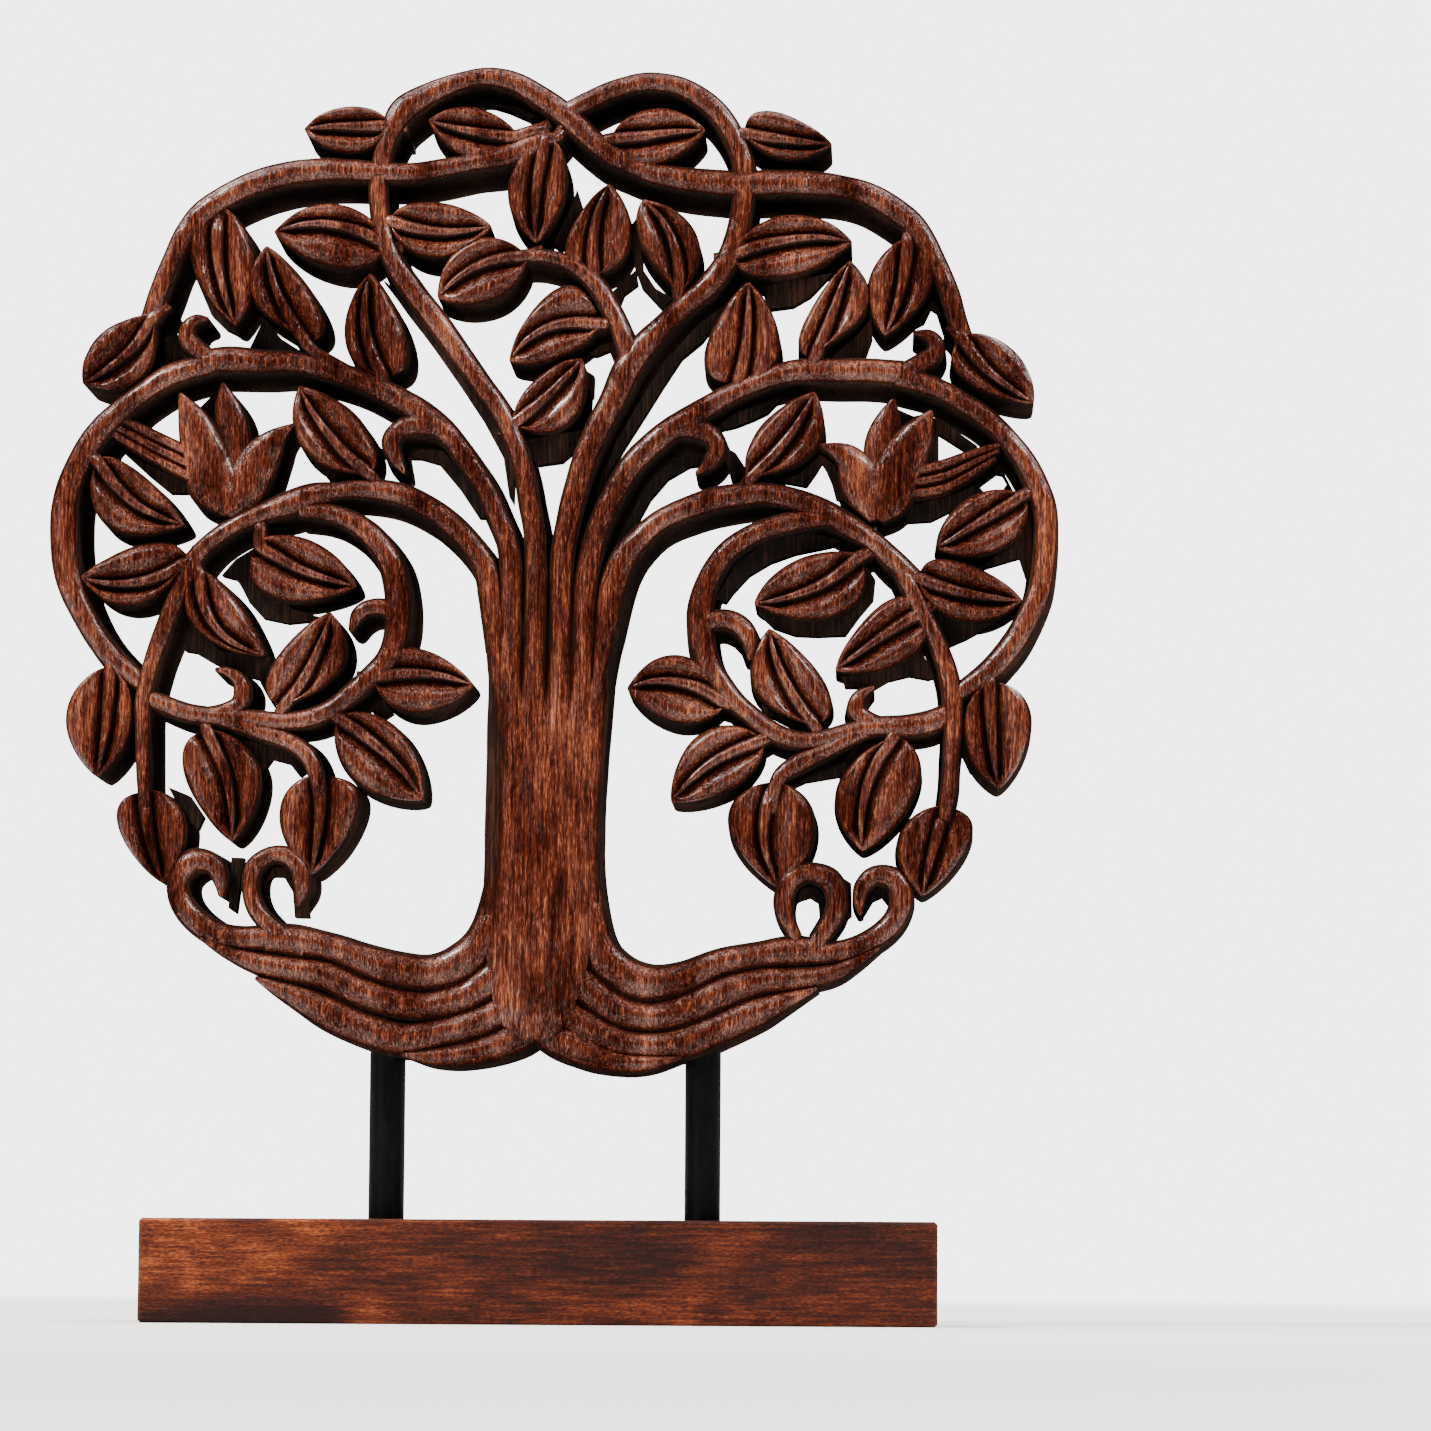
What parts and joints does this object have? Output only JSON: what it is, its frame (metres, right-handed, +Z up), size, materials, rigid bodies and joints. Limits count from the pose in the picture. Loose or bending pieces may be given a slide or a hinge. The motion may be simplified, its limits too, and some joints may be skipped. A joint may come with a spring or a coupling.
{
  "type": "tree of life sculpture",
  "caption": "Free-standing carved openwork tree of life, with leaves, birds and roots, on two black rods and a block base.",
  "frame": {"origin": "centre of the base block's underside, on the surface it stands on", "axes": "+Z up; -Y towards the viewer, the side that is carved in relief; +X to the viewer's right, along the base"},
  "size_m": [0.2842, 0.06, 0.3543],
  "materials": {
    "carved_wood": "semi-gloss dark red-brown stain and lacquer",
    "base_wood": "satin dark red-brown stain",
    "black_steel": "satin black paint",
    "fixing_steel": "plain zinc-plated"
  },
  "bodies": {
    "root": {"base_block": "base_wood", "bird_left": "carved_wood", "bird_left_rear_wing": "carved_wood", "bird_left_tail": "carved_wood", "bird_right": "carved_wood", "bird_right_rear_wing": "carved_wood", "bird_right_tail": "carved_wood", "branch_left_inner": "carved_wood", "branch_left_sweep": "carved_wood", "branch_right_fork": "carved_wood", "branch_right_inner": "carved_wood", "branch_right_sweep": "carved_wood", "buds_left": "carved_wood", "buds_right": "carved_wood", "crown_arch_left": "carved_wood", "crown_arch_right": "carved_wood", "leaves_centre": "carved_wood", "leaves_crown_left_inner": "carved_wood", "leaves_crown_left_outer": "carved_wood", "leaves_crown_right": "carved_wood", "leaves_left_lower": "carved_wood", "leaves_left_lowest": "carved_wood", "leaves_left_middle": "carved_wood", "leaves_left_upper": "carved_wood", "leaves_right_lower": "carved_wood", "leaves_right_lowest": "carved_wood", "leaves_right_middle": "carved_wood", "leaves_right_upper": "carved_wood", "limb_left_high": "carved_wood", "limb_left_low": "carved_wood", "limb_left_mid": "carved_wood", "limb_right_high": "carved_wood", "limb_right_low": "carved_wood", "limb_right_mid": "carved_wood", "low_twigs": "carved_wood", "ring_left_lower": "carved_wood", "ring_left_upper": "carved_wood", "ring_right_lower": "carved_wood", "ring_right_upper": "carved_wood", "rod_left": "black_steel", "rod_right": "black_steel", "rod_screws": "fixing_steel", "rod_washers": "fixing_steel", "root_curl_left_inner": "carved_wood", "root_curl_left_outer": "carved_wood", "root_curl_right_inner": "carved_wood", "root_curl_right_outer": "carved_wood", "root_left_lowest": "carved_wood", "root_left_second": "carved_wood", "root_left_third": "carved_wood", "root_left_upper": "carved_wood", "root_right_lowest": "carved_wood", "root_right_second": "carved_wood", "root_right_third": "carved_wood", "root_right_upper": "carved_wood", "stem_left_low": "carved_wood", "stem_right_low": "carved_wood", "trunk": "carved_wood", "twig_left_inner": "carved_wood", "twig_right_inner": "carved_wood"}
  },
  "joints": []
}
